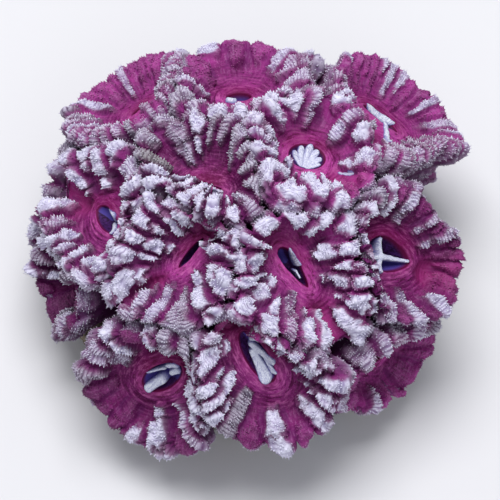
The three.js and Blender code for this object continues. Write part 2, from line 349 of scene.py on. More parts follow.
# The foot and the stone's roughness, in millimetres. So many lumps go around, and start at so many degrees.
FOOT_HEIGHT = 2.6
FOOT_RADIUS = 18.5
FOOT_BULGE = 1.4
FOOT_LUMPS = [dict(around=3, size=0.6, start=40), dict(around=7, size=0.4, start=100)]
STONE_WAVES = [dict(height=0.5, length=7, seed=3), dict(height=0.25, length=2.2, seed=4)]
GRAIN_PITCH = 1.1
GRAIN_HEIGHT = 0.35
SAWN_MARGIN = 0.8
LEAST_HEIGHT = 0.02
GROWTH_HEIGHTS = (5, 11)
# How far up its sine the bulge starts, how many pitches a grain reaches, and the mesh's sides and rows
BULGE_START = 0.15
GRAIN_REACH = 0.6
SKELETON_SIDES = 160
CORE_ROWS = 56
FOOT_ROWS = 8


def skeleton_rings():
    """Rings from the top of the core down to the sawn face, and their attributes. Above, a level of the dome
    that rises from the core to the wall with the clearance from the polyps; below, a lumpy round foot that
    bulges as a sine; both roughened along the normals by waves and grains, except at the sawn face."""
    bearing = np.linspace(0, 360, SKELETON_SIDES, endpoint=False)
    tilt = np.linspace(*CORE_TILTS, CORE_ROWS)[:, None]
    directions = direction_at(bearing + 0 * tilt, tilt + 0 * bearing)
    rise = smoothstep(WALL_CLEARANCE, WALL_CLEARANCE + WALL_RISE_ANGLE, clearance(directions))
    core = point_at(directions, CORE_LEVEL + (WALL_LEVEL - CORE_LEVEL) * rise)

    height = np.linspace(FOOT_HEIGHT, 0, FOOT_ROWS)[:, None] + 0 * bearing
    around = np.radians(bearing)
    radius = FOOT_RADIUS + FOOT_BULGE * np.sin(np.pi * np.minimum(height / FOOT_HEIGHT + BULGE_START, 1))
    for lump in FOOT_LUMPS:
        radius = radius + lump["size"] * np.sin(lump["around"] * around + np.radians(lump["start"]))
    foot = np.stack([radius * np.cos(around), radius * np.sin(around), height], -1)

    rings = np.concatenate([core, foot])
    rough = sum(wave["height"] * waves(rings, wave["length"], wave["seed"]) for wave in STONE_WAVES)
    grains = GRAIN_HEIGHT * (GRAIN_REACH - buds(rings / GRAIN_PITCH, seed=5)[0])
    loose = smoothstep(0, SAWN_MARGIN, rings[..., 2])
    rings = rings + normals_of(rings) * ((rough + grains) * loose)[..., None]
    rings[..., 2] = np.where(loose > 0, np.maximum(rings[..., 2], LEAST_HEIGHT), 0)
    attributes = {
        "raised": np.clip(0.5 + 1.6 * grains + 0.5 * rough, 0, 1),
        "growth": smoothstep(*GROWTH_HEIGHTS, rings[..., 2]),
    }
    return rings, attributes


EARTH_BROWN = srgb(96, 80, 56)
PALE_TAN = srgb(132, 116, 92)
BLUE_GREY = srgb(88, 114, 138)
WORN_STONE = srgb(150, 142, 130)
PIT_SHADE = srgb(38, 30, 30)


def skeleton_material():
    """Pitted limestone: brown and tan, with blue-grey patches of growth that thicken with height, pale worn
    grains, and painted shade in the pits where the surface isn't raised."""
    material, shade, shader = new_material("coral_limestone", roughness=0.9, specular=0.2)
    stone = shade.noise(5).blend(EARTH_BROWN, PALE_TAN)
    growth = shade.attribute("growth") * 0.25 + shade.noise(9, 3)
    stone = growth.between(0.55, 0.68).blend(stone, BLUE_GREY)
    stone = shade.noise(0.8, 4).between(0.35, 0.75).blend(stone, WORN_STONE)
    raised = shade.attribute("raised") + shade.noise(1.5) * 0.6
    # Painted shade: the pits, where the surface isn't raised, are darkened.
    stone = raised.between(0.35, 0.95).blend(PIT_SHADE, stone)
    plug(shader, "Base Color", stone)
    plug(shader, "Normal", bumpy(shade, shade.noise(0.5, 5), strength=0.6, depth=0.4 * MM))
    return material


rings, attributes = skeleton_rings()
top = DOME_CENTRE + [0, 0, DOME_SEMI_AXES[2] * CORE_LEVEL]
skeleton = joined_piece("skeleton", [closed_shell(top, rings, np.zeros(3), attributes)])
skeleton.data.materials.append(skeleton_material())
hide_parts("skeleton_base")
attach(skeleton, "root")


# The polyps
# Soft cups of living flesh, each grown round a mouth: a sunken magenta disc inside a thick rim of radial
# ridges, whose swollen ends carry shaggy white frosting, on a stalk that tapers to its foot on the skeleton.

# Each polyp's mouth: its offset right and up the face, its half length and half width in millimetres, the
# turn of its slit in degrees, how far its width tapers and how far it is filled. Then its flush, from 0 for
# dull maroon to 1 for bright pink, how plump its rim is, and the letters of its ridges, anticlockwise from
# the right.
POLYPS = {
    "polyp_back": dict(
        at=(0.2, -0.3), half=(2.1, 1.5), turn=0, flush=0.6, plump=0.8, ridges="pwpmmpmmwgwWWwWw"),
    "polyp_back_right": dict(
        at=(-1.6, 1.9), half=(3.5, 1.7), turn=-5, filled=0.5, flush=0.65, plump=0.55,
        ridges="gwmppmpmmpppmmmpmmwwWwmmgoogggwggwgw"),
    "polyp_crown_right": dict(
        at=(0.55, 1.1), half=(3.2, 2.6), turn=5, filled=0.65, flush=0.75, ridges="WSwSwSSWwWVVVVmm"),
    "polyp_crown_left": dict(
        at=(0.2, -1.2), half=(2, 0.15), turn=-25, flush=0.3, ridges="GGGGGWwGeVVwVVVVwG"),
    "polyp_back_left": dict(
        at=(0.4, -1), half=(1.8, 0.8), turn=30, flush=0.65, plump=0.6,
        ridges="gwgwmmmmpmmmpGGwpGwggwgmgmgwgw"),
    "polyp_left": dict(
        at=(-0.2, -0.3), half=(3.3, 1.7), turn=-48, filled=0.6, flush=0.5, ridges="WWwSWSWoSwSwSWVVWW"),
    "polyp_centre_left": dict(
        at=(2.6, 1), half=(3.3, 0.6), turn=51, filled=0.4, flush=0.5, ridges="WWmWWWWWSwpgWW"),
    "polyp_centre": dict(
        at=(-2.1, 3.1), half=(4.1, 1.1), turn=-57, taper=0.5, flush=0.65, ridges="WWWSSSSWWWWWwWSoSW"),
    "polyp_right": dict(
        at=(-2.2, -0.6), half=(4.5, 2.6), turn=-14, taper=0.4, flush=0.35,
        ridges="mmwmwmwmSgSwVwVwmppmpmpmmm"),
    "polyp_front_left": dict(
        at=(0.6, 0.8), half=(4.8, 2.1), turn=53, filled=0.3, flush=0.35, ridges="WWWggWmWwgmmmSWmwW"),
    "polyp_front": dict(
        at=(-0.6, 3.2), half=(5.2, 1.7), turn=-64, filled=0.4, flush=0.45, ridges="WWWWWomWWWWWgmSmSW"),
    "polyp_front_right": dict(
        at=(0, -0.5), half=(2, 1.2), turn=-30, flush=0.6, ridges="mgwgwgmmowmmmm"),
    "polyp_left_low": dict(
        at=(0, 0), half=(1.5, 0.9), turn=0, flush=0, ridges="mgWwWgWmmgwm"),
    "polyp_rear_left_low": dict(
        at=(0, 0), half=(1.8, 0.8), turn=20, flush=0.3, ridges="WwmWgmWwWmwWgW"),
    "polyp_rear_left": dict(
        at=(0, 0), half=(2.2, 1), turn=-15, flush=0.5, ridges="mWwWmWgWmWwWWm"),
    "polyp_rear": dict(
        at=(0, 0), half=(2.4, 1.1), turn=10, flush=0.4, ridges="WmWwmWgWWmWwWg"),
    "polyp_rear_right": dict(
        at=(0, 0), half=(1.8, 0.9), turn=-30, flush=0.6, ridges="wWmWmgWwWmgWWm"),
}

# White folds of flesh in and beside the mouths, in millimetres: where each starts on the face, right and
# up, and its half width there, then the same where it ends
WHITE_FOLDS = {
    "polyp_back": [(-1.4, -1.4, 0.5, -0.5, -1.8, 0.5)],
    "polyp_back_right": [
        (-4.1, 3.3, 0.3, 0.7, 3.2, 0.4), (-3.8, 2.0, 0.2, -0.4, 1.9, 0.25),
        (-1.1, 0.3, 0.4, 0.2, -3.4, 0.7)],
    "polyp_crown_right": [
        (-0.3, -0.3, 0.2, -1.2, 1.8, 0.62), (0, -0.4, 0.2, -0.2, 2.6, 0.7), (0.3, -0.5, 0.2, 1.1, 2.9, 0.72),
        (0.5, -0.6, 0.2, 2.1, 2.3, 0.7), (0.6, -0.8, 0.2, 2.6, 1.2, 0.64), (0.6, -1, 0.2, 2.4, 0.1, 0.55),
        (5.7, -0.95, 0.25, 6.3, -1.15, 0.28)],
    "polyp_left": [(0.2, 0.9, 0.5, 1.4, -0.2, 0.8), (0.6, -1.2, 0.5, 1.2, -2.6, 0.6)],
    "polyp_centre": [(-2.7, 6.2, 0.2, -1.3, 3.4, 0.28), (-1.5, 2.4, 0.25, -0.9, 1.2, 0.2)],
    "polyp_right": [
        (-3.8, 1.9, 0.4, -3.3, -0.6, 0.65), (-3.3, -0.6, 0.6, -6.2, -1.3, 0.35),
        (-3.3, -0.7, 0.6, -4.3, -2.8, 0.5), (-3.2, -0.7, 0.7, 1.6, -1.4, 0.3)],
    "polyp_front_left": [
        (-1.5, -2.4, 0.8, 0.4, -0.2, 0.9), (1.5, 3.2, 0.6, 2.7, 4.2, 0.7), (1.9, 1.8, 0.6, 3, 3, 0.6),
        (-1.4, 0.9, 0.35, 0.7, 2.2, 0.4)],
    "polyp_front": [
        (-1.4, 6.1, 0.5, -0.5, 6.4, 0.6), (-1.4, 5, 0.55, 1.3, 2.5, 0.75), (-1.2, 3.7, 0.6, 0.7, -0.4, 1.0),
        (0.6, 2.4, 0.3, 1.7, 0.5, 0.5)],
    "polyp_rear_left": [(-0.8, 0.1, 0.4, 0.6, 0, 0.4)],
    "polyp_rear": [(-1.2, 0.2, 0.4, 0.3, 0.3, 0.5)],
}
# Blue-violet folds, given in the same way, too low to be more than a colour
BLUE_FOLDS = {
    "polyp_back": [(-1, 0.8, 0.5, 1.5, 0.8, 0.5)],
    "polyp_left": [(-2.2, 1.9, 0.5, -0.3, 0.6, 0.9)],
    "polyp_right": [(-2.6, -2.1, 0.9, 1.4, -2.0, 0.7)],
    "polyp_front_left": [(-2, -1.5, 1.2, 2, 2.2, 1.6)],
    "polyp_front": [(1.6, 1.5, 0.6, 2, -0.5, 0.6), (-2, 7, 0.6, -1.4, 5.6, 0.6)],
    "polyp_centre": [(-4, 5.6, 0.8, -2.6, 4, 0.6)],
}

# Faces that lean: the side at an angle of the face rises by millimetres, and the far side sinks
LEANS = {
    "polyp_back": dict(angle=90, rise=0, sink=2.6),
    "polyp_back_right": dict(angle=65, rise=2.2, sink=3),
    "polyp_back_left": dict(angle=115, rise=0.4, sink=3),
    "polyp_left": dict(angle=160, rise=0, sink=2),
    "polyp_centre": dict(angle=180, rise=0, sink=1.5),
    "polyp_right": dict(angle=0, rise=0, sink=2.4),
    "polyp_front_left": dict(angle=270, rise=0.4, sink=2.6),
    "polyp_front": dict(angle=270, rise=0.4, sink=1.6),
}
NO_LEAN = dict(angle=0, rise=0, sink=0)
# Where a rim dips and a valley runs on out of the cup: the angle and the width, in degrees, and millimetres
DIPS = {
    "polyp_back_right": [dict(angle=257, depth=1.5, width=12)],
    "polyp_crown_right": [dict(angle=-35, depth=1.5, width=12)],
    "polyp_left": [dict(angle=148, depth=1.5, width=12)],
    "polyp_centre_left": [dict(angle=218, depth=2.2, width=8), dict(angle=48, depth=1.6, width=12)],
    "polyp_centre": [dict(angle=-62, depth=2.2, width=17)],
    "polyp_right": [dict(angle=-22, depth=1.5, width=14)],
    "polyp_front": [dict(angle=112, depth=3, width=20)],
}

# The cup: depths below its crest in millimetres, then shares of the way from lip to edge. The stalk: its
# foot's width as a share of the edge's, where its flesh goes smooth, and its foot's level on the dome.
LIP_DEPTH = 4.5
PIT_DEPTH = 8.0
DISC_DEPTH = 4.6
EDGE_DEPTH = 1.8
SLOPE_SHARES = (0.24, 0.8)
DIP_SHARES = (0.1, 0.6)
CREST_SHARE = 0.86
STALK_SHARE = 0.9
STALK_BARE = (0.05, 0.5)
STALK_FOOT_LEVEL = 0.62

# Ridges by letter: W is swollen and white, V is white from close to the mouth, S only on the outer rim, w is
# thinly frosted, g is grey, G is grey and short, e is olive, p is a low pale stripe, m is bare magenta, and
# o is hardly there. Each has how swollen it is, where along the face it starts, how white, grey and olive,
# how shaggy, how deeply parted into lumps, and how clear the rows of frills across it are.
RIDGES = {
    "W": dict(swell=1.0, start=0.2, white=1.0, grey=0.5, olive=0.0, shag=1.0, parted=1.0, frilled=0.75),
    "V": dict(swell=1.0, start=0.06, white=1.0, grey=0.5, olive=0.0, shag=1.0, parted=1.0, frilled=0.75),
    "S": dict(swell=0.9, start=0.38, white=1.0, grey=0.5, olive=0.0, shag=1.0, parted=0.6, frilled=0.6),
    "w": dict(swell=0.85, start=0.26, white=0.66, grey=0.6, olive=0.0, shag=0.9, parted=0.8, frilled=1.0),
    "g": dict(swell=0.8, start=0.24, white=0.48, grey=1.0, olive=0.1, shag=0.9, parted=0.3, frilled=1.0),
    "G": dict(swell=0.8, start=0.42, white=0.5, grey=1.0, olive=0.25, shag=0.9, parted=0.3, frilled=1.0),
    "e": dict(swell=0.8, start=0.46, white=0.25, grey=1.0, olive=0.8, shag=0.9, parted=0.1, frilled=1.0),
    "m": dict(swell=0.5, start=0.32, white=0.0, grey=0.1, olive=0.0, shag=0.75, parted=0.3, frilled=0.8),
    "p": dict(swell=0.6, start=0.34, white=0.8, grey=0.5, olive=0.0, shag=0.8, parted=0.15, frilled=0.8),
    "o": dict(swell=0.1, start=0.6, white=0.0, grey=0.0, olive=0.0, shag=0.4, parted=0.0, frilled=0.5),
}
# Borders between ridges, in shares of a ridge's width
BORDER_SHIFT = 0.2
BORDER_BEND = 0.22
LONG_WIDENING = 0.3
# The form of the ridges: millimetres, then shares of the face, then the round of their sides
LUMP_PITCH = (3.1, 4.3)
ROOM_TO_SWELL = 6.5
GROOVE_DEPTH = 1.0
RIDGE_HEIGHT = 1.9
UNEVENNESS = 0.3
SHORT_START = 0.14
NOSE_SHARE = 0.14
FLANK_SCALE = 2.16
FLANK_POWER = 2.6
# Finer relief, in millimetres, and how far the grids of clumps on two ridges are kept apart, in cells
RIPPLE_PITCH = 0.5
RIPPLE_HEIGHT = 0.08
RIB_PITCH = 0.5
RIB_HEIGHT = 0.025
FRILL_PITCH = 0.44
FRILL_HEIGHT = 0.13
CLUMP_PITCH = (1.25, 1.1)
CLUMP_HEIGHT = 0.45
CLUMP_GRIDS_APART = 31.0
# Folds: the height for each millimetre of half width, and how far the mouth is filled under them
FOLD_HEIGHT = 0.8
FOLD_FILLED = 0.65
# Papillae: millimetres, then the share of the height that is sunk, then cells of their grid
TUFT_PITCH = 0.26
TUFT_RADIUS = 0.15
TUFT_HEIGHT = 0.28
TUFT_GRIDS_APART = 12.0
TUFT_SUNK = 0.35
TUFT_JITTER = 0.6
TUFT_NEAR = 0.4
# A number above any column, a papilla's sides, and a direction to set them out from, which may be any
TUFT_ROW_STRIDE = 4096
TUFT_SIDES = 4
ANY_SIDE = (0.31, 0.48, 0.82)
# How far the flesh turns out of the dome at the edge, and how near the floor it may come, in millimetres
EDGE_TURN = 0.35
FLOOR_CLEARANCE = 0.45

# Rows: the first, as a share of the pit, the disc's last, as a share of the face, and how the stalk's spread
PIT_START = 0.06
DISC_SHARE = 0.32
STALK_ROW_POWER = 1.7


def polyp_rows(pit, disc, rim, stalk):
    """Rows of a polyp from its mouth's middle to its stalk's foot: shares of the way to the lip, from lip to
    edge and, ever wider apart, from edge to foot."""
    inside = np.concatenate([np.linspace(PIT_START, 1, pit), np.ones(disc + rim + stalk)])
    disc_rows = np.linspace(0, DISC_SHARE, disc + 1)[1:]
    rim_rows = np.linspace(DISC_SHARE, 1, rim + 1)[1:]
    share = np.concatenate([np.zeros(pit), disc_rows, rim_rows, np.ones(stalk)])
    down = np.concatenate([np.zeros(pit + disc + rim), np.linspace(0, 1, stalk + 1)[1:] ** STALK_ROW_POWER])
    return inside[:, None], share[:, None], down[:, None]


def cup_points(name, angle, inside, share, down):
    """The smooth cup: its points, their places on the face and the room from lip to edge, in millimetres. On
    the plane of the face a place runs from the mouth's middle to its lip, an ellipse that may taper, then to
    the edge, and back in down the stalk. Its height falls from the crest by a smooth step to the disc, by a
    square to the edge and by a cube to the floor of the mouth, and then leans and dips."""
    polyp, site = POLYPS[name], SITES[name]
    out, right, up = face_of(name)
    turn = np.radians(polyp["turn"])
    along, across = np.cos(angle - turn) * polyp["half"][0], np.sin(angle - turn) * polyp["half"][1]
    across = across * (1 - polyp.get("taper", 0) * np.cos(angle - turn))
    middle = np.array(polyp["at"]) / MEAN_RADIUS
    lip = np.stack([along * np.cos(turn) - across * np.sin(turn),
                    along * np.sin(turn) + across * np.cos(turn)], -1)
    rim = edge_distance(name, angle)[..., None] * np.stack([np.cos(angle), np.sin(angle)], -1)
    place = middle + lip / MEAN_RADIUS * inside[..., None]
    room = np.linalg.norm(rim - place, axis=-1) * MEAN_RADIUS
    place = place + (rim - place) * share[..., None]
    place = place * (1 - (1 - STALK_SHARE) * down[..., None])
    directions = out + place[..., :1] * right + place[..., 1:] * up
    directions /= np.linalg.norm(directions, axis=-1, keepdims=True)
    radius = np.linalg.norm(directions * DOME_SEMI_AXES, axis=-1)
    depth = DISC_DEPTH * (1 - smoothstep(*SLOPE_SHARES, share))
    depth = depth + EDGE_DEPTH * np.clip((share - CREST_SHARE) / (1 - CREST_SHARE), 0, 1) ** 2
    depth = np.where(inside < 1, LIP_DEPTH + (PIT_DEPTH - LIP_DEPTH) * (1 - inside ** 3), depth)
    lean = LEANS.get(name, NO_LEAN)
    raised = smoothstep(-1, 1, np.cos(angle - np.radians(lean["angle"])))
    rise = (raised * (lean["rise"] + lean["sink"]) - lean["sink"]) * share
    for dip in DIPS.get(name, []):
        valley = bell(angle, dip["angle"], dip["width"]) * smoothstep(*DIP_SHARES, share)
        rise = rise - dip["depth"] * valley
    top = site.get("lift", 1.0) + (rise - depth) / radius
    return point_at(directions, top + (STALK_FOOT_LEVEL - top) * down), place * MEAN_RADIUS, room


def polyp_grid(name, sides, rows):
    """A polyp's surface before its flesh, as arrays by row and column: its rows and angles, the cup, its
    normals and its directions out of the dome, the distance along each column from the lip, the radius round
    the mouth, how much relief is left down the stalk, and the row where the rim starts."""
    angle = np.linspace(0, 2 * np.pi, sides, endpoint=False)[None, :]
    inside, share, down, angle = np.broadcast_arrays(*polyp_rows(*rows), angle)
    cup, face, room = cup_points(name, angle, inside, share, down)
    radial = cup - DOME_CENTRE
    radial /= np.linalg.norm(radial, axis=-1, keepdims=True)
    arc = np.cumsum(np.linalg.norm(np.diff(cup, axis=0, prepend=cup[:1]), axis=-1), axis=0)
    pit, disc = rows[:2]
    arc = arc - arc[pit - 1]
    around = np.linalg.norm(np.roll(cup, -1, 1) - np.roll(cup, 1, 1), axis=-1) * sides / (4 * np.pi)
    fade = 1 - smoothstep(*STALK_BARE, down)
    return SimpleNamespace(
        inside=inside, share=share, down=down, angle=angle, cup=cup, face=face, room=room,
        normal=normals_of(cup), radial=radial, arc=arc, around=around, fade=fade, rim_row=pit + disc)


def ridge_places(name, angle, share, seed):
    """Which ridge each place is on, how far across it, from -0.5 to 0.5, and its width in radians. The
    borders are evenly spaced, then shifted at random, and wander along the face. Ridges are long and short
    by turns, and the long ones widen towards the mouth over the borders of the short ones."""
    ridges = POLYPS[name]["ridges"]
    draw = np.random.default_rng(seed)
    count = len(ridges)
    pitch = 2 * np.pi / count
    borders = (np.arange(count) - 0.5 + draw.uniform(-BORDER_SHIFT, BORDER_SHIFT, count)) * pitch
    wander = np.sin(5 * share + 3 * angle + draw.uniform(0, 6))
    bend = BORDER_BEND * pitch * wander * smoothstep(0.2, 0.9, share)
    turned = np.mod(angle + bend - borders[0], 2 * np.pi)
    ends = np.append(borders[1:], borders[0] + 2 * np.pi) - borders[0]
    ridge = np.minimum(np.searchsorted(ends, turned), count - 1)
    low = np.append(0, ends)[ridge]
    width = ends[ridge] - low
    across = (turned - low) / width - 0.5

    taken = LONG_WIDENING * (1 - smoothstep(0.35, 0.75, share))
    short = ridge % 2 == 1
    over = short & (np.abs(across) > 0.5 - taken)
    side = np.sign(across)
    across = np.where(over, -side * (1 - np.abs(across)), across)
    ridge = np.where(over, (ridge + side.astype(int)) % count, ridge)
    across = across * 0.5 / np.where(short & ~over, 0.5 - taken, 0.5 + taken)
    return ridge, across, width


def folds(strokes, face):
    """Round-backed folds at places on the face: how near the back of the nearest fold, from 0 to 1, and how
    high the highest is. A fold runs straight between two places, and its half width changes evenly."""
    near = np.zeros(face.shape[:-1])
    high = np.zeros(face.shape[:-1])
    for x0, y0, width0, x1, y1, width1 in strokes:
        start, run = np.array([x0, y0]), np.array([x1 - x0, y1 - y0])
        along = np.clip((face - start) @ run / (run @ run), 0, 1)
        apart = np.linalg.norm(face - start - along[..., None] * run, axis=-1)
        width = width0 + (width1 - width0) * along
        back = np.sqrt(np.clip(1 - (apart / width) ** 2.4, 0, 1))
        near = np.maximum(near, back)
        high = np.maximum(high, back * width)
    return near, high


def ridges_at(name, grid, seed, draw):
    """The ridge at each place: its number, how far across it and aside from its middle the place is, and
    its letter's traits, some of them varied at random. Every second ridge starts further out."""
    number, across, width = ridge_places(name, grid.angle, grid.share, seed)
    letters = POLYPS[name]["ridges"]
    count = len(letters)
    traits = {key: np.array([RIDGES[letter][key] for letter in letters]) for key in RIDGES["W"]}
    traits["swell"] = traits["swell"] * draw.uniform(0.75, 1.15, count)
    short = np.arange(count) % 2 * SHORT_START
    traits["start"] = traits["start"] + short + draw.uniform(-0.05, 0.12, count)
    traits["shift"] = draw.uniform(0, 1, count)
    traits["pitch"] = draw.uniform(*LUMP_PITCH, count)
    traits["white"] = traits["white"] * draw.uniform(0.85, 1.1, count)
    traits["grey"] = traits["grey"] * draw.uniform(0.6, 1.1, count)
    at_places = {key: values[number] for key, values in traits.items()}
    return SimpleNamespace(number=number, across=across, aside=across * width * grid.around, **at_places)


def ridge_relief(name, grid, ridge, seed):
    """How high the ridges stand, keeping their form for later. Across, a ridge is round, with steep sides
    that a power gives; it begins in a quarter round, its nose; along, a cube parts it into lumps. Grooves
    sink between the ridges, and waves make all of it uneven."""
    wander = 0.05 * waves(grid.cup, 1.7, seed + 21)
    frayed = waves(grid.cup, 1.5, seed + 22)
    ridge.inward = grid.share + 0.025 * frayed
    narrow = 0.6 + 0.4 * smoothstep(ridge.start, ridge.start + 0.3, ridge.inward)
    ridge.flank = np.abs(FLANK_SCALE * (ridge.across + wander) / narrow)
    before = np.clip((ridge.start + NOSE_SHARE - ridge.inward) / NOSE_SHARE, 0, 1)
    ridge.nose = np.sqrt(np.clip(1 - before ** 2, 0, 1))
    lumps = grid.arc / ridge.pitch + 7 * ridge.shift + 0.12 * frayed
    parted = ridge.parted * (0.7 + 0.28 * scatter(np.stack([np.round(lumps), ridge.number], -1), seed))
    parting = parted * np.abs(2 * np.mod(lumps, 1) - 1) ** 3
    ridge.dome = np.sqrt(np.clip(1 - ridge.flank ** FLANK_POWER - parting, 0, 1))
    ridge.paler = 0.85 + 0.25 * scatter(np.stack([np.floor(lumps), ridge.number], -1), seed + 1)
    ridge.crown = ridge.dome * ridge.nose * grid.fade

    swell = ridge.swell * np.clip(grid.room / ROOM_TO_SWELL, 0.5, 1)
    groove = smoothstep(0.22, 0.5, grid.share) * grid.fade
    height = POLYPS[name].get("plump", 1) * (RIDGE_HEIGHT * swell * ridge.crown - GROOVE_DEPTH * groove)
    height = height + UNEVENNESS * waves(grid.cup, 2.8, seed + 12) * ridge.crown
    return height + UNEVENNESS * waves(grid.cup, 6, seed + 11) * smoothstep(0, 0.5, grid.share) * grid.fade


def disc_relief(grid, seed):
    """Ripples round the mouth and ribs up the slope of the cup, both sines: where the disc and the slope
    are, the ribs from -1 to 1, and the heights of the two."""
    disc = smoothstep(-0.5, 0.2, grid.arc) * (1 - smoothstep(0.28, 0.6, grid.share))
    ripple = np.sin(2 * np.pi * (grid.arc / RIPPLE_PITCH + 0.35 * waves(grid.cup, 3, seed + 5)))
    slope = smoothstep(0.16, 0.3, grid.share) * (1 - smoothstep(0.45, 0.6, grid.share))
    rib_count = np.round(2 * np.pi * grid.around[grid.rim_row].mean() / RIB_PITCH)
    rib = np.sin(rib_count * grid.angle + 0.8 * waves(grid.cup, 4, seed + 3))
    return disc, slope, rib, RIPPLE_HEIGHT * ripple * disc, RIB_HEIGHT * rib * slope


def frill_relief(grid, ridge, seed):
    """How high clumps and frills stand on the ridges, keeping their form for later. Clumps are round heads
    at jittered points. Frills are rows across the ridge, parted by a cube, which shift from clump to clump
    on ridges where they aren't clear."""
    along = grid.arc / CLUMP_PITCH[0] + ridge.shift
    aside = ridge.aside / CLUMP_PITCH[1] + CLUMP_GRIDS_APART * ridge.number
    apart, owner = buds(np.stack([along, aside], -1), seed + 2)
    ridge.clump = np.clip(1 - 1.7 * apart ** 2, 0, 1)
    uneven = (1.2 - ridge.frilled) * waves(grid.cup, 1.4, seed + 7)
    uneven = uneven + 2 * (1 - ridge.frilled) * scatter(owner, seed + 4)
    ridge.row = grid.arc / FRILL_PITCH + uneven + 3 * ridge.shift
    ridge.frill = 1 - ridge.frilled * np.abs(2 * np.mod(ridge.row, 1) - 1) ** 3
    begun = smoothstep(ridge.start - 0.04, ridge.start + 0.08, grid.share)
    ridge.shaggy = begun * grid.fade * smoothstep(0.05, 0.5, ridge.dome) * ridge.shag
    return (CLUMP_HEIGHT * (ridge.clump - 0.5) + FRILL_HEIGHT * (ridge.frill - 0.5)) * ridge.shaggy


def mouth_relief(name, grid, seed):
    """The white folds in the mouth, from 0 to 1, and how high they and the filling lift its floor."""
    lobe, back = folds(WHITE_FOLDS.get(name, []), grid.face)
    lobe = lobe * (0.93 + 0.09 * waves(grid.cup, 0.7, seed + 9))
    filled = POLYPS[name].get("filled", 0)
    filled = filled + max(0, FOLD_FILLED - filled) * smoothstep(0, 0.8, lobe)
    return lobe, FOLD_HEIGHT * back + filled * (PIT_DEPTH - LIP_DEPTH) * (1 - grid.inside ** 3)


def tuft_places(rows, keep, seed):
    """The surface places nearest to a jittered grid of points along the rows of frills, where keep is true.
    A point that has no place near it is left out."""
    apart, owner = buds(rows, seed, jitter=TUFT_JITTER)
    key = (owner[..., 0] * TUFT_ROW_STRIDE + owner[..., 1]).ravel()
    order = np.lexsort((apart.ravel(), key))
    nearest = order[np.unique(key[order], return_index=True)[1]]
    return nearest[keep.ravel()[nearest] & (apart.ravel()[nearest] < TUFT_NEAR)]


def tuft_shell(places, headings, size, attributes):
    """Papillae as one shell: at each place a small cone along its heading, its foot sunk in the flesh. Its
    tip is the palest and least shaded part."""
    around = np.linspace(0, 2 * np.pi, TUFT_SIDES, endpoint=False)
    side = np.cross(headings, ANY_SIDE)
    side /= np.linalg.norm(side, axis=-1, keepdims=True)
    other = np.cross(headings, side)
    ring = np.cos(around)[:, None] * side[:, None] + np.sin(around)[:, None] * other[:, None]
    size = size[:, None, None]
    feet = places[:, None] + size * (TUFT_RADIUS * ring - TUFT_SUNK * TUFT_HEIGHT * headings[:, None])
    tips = places[:, None] + size * TUFT_HEIGHT * headings[:, None]
    points = np.concatenate([feet, tips], 1)

    foot = np.arange(TUFT_SIDES)
    walls = np.stack([foot, np.roll(foot, -1), 0 * foot + TUFT_SIDES], -1)
    corners = np.concatenate([walls.ravel(), foot[::-1]])
    sizes = np.array([3] * TUFT_SIDES + [TUFT_SIDES])
    count, each = points.shape[:2]
    corners = corners + each * np.arange(count)[:, None]
    flat = {label: np.repeat(values, each, 0) for label, values in attributes.items()}
    tip = np.tile(np.arange(each) == TUFT_SIDES, count)
    flat["bud"] = np.where(tip, 1.0, flat["bud"])
    # Painted crease shade is weaker at the tips.
    flat["hollow"] = np.where(tip, 0.4, 1.0) * flat["hollow"]
    points = points.reshape(-1, 3)
    return dict(points=points, corners=corners.ravel(), sizes=np.tile(sizes, count), attributes=flat)


def papillae(grid, ridge, rings, heading, attributes, seed, draw):
    """Tufts of papillae on the rows of frills, leaning at random between the normal and the way out of the
    dome, and coloured as the flesh that they stand on."""
    places = np.stack([ridge.row, (ridge.aside + TUFT_GRIDS_APART * ridge.number) / TUFT_PITCH], -1)
    chosen = tuft_places(places, ridge.shaggy > 0.2, seed)
    flat = {label: values.reshape((-1,) + values.shape[2:])[chosen] for label, values in attributes.items()}
    leaning = normals_of(rings).reshape(-1, 3)[chosen] + heading.reshape(-1, 3)[chosen]
    leaning = leaning + 0.3 * draw.normal(size=leaning.shape) + 0.3 * grid.radial.reshape(-1, 3)[chosen]
    leaning /= np.linalg.norm(leaning, axis=-1, keepdims=True)
    size = (0.45 + 0.55 * ridge.shaggy.ravel()[chosen]) * draw.uniform(0.6, 1.4, len(chosen))
    return tuft_shell(rings.reshape(-1, 3)[chosen], leaning, size, flat)


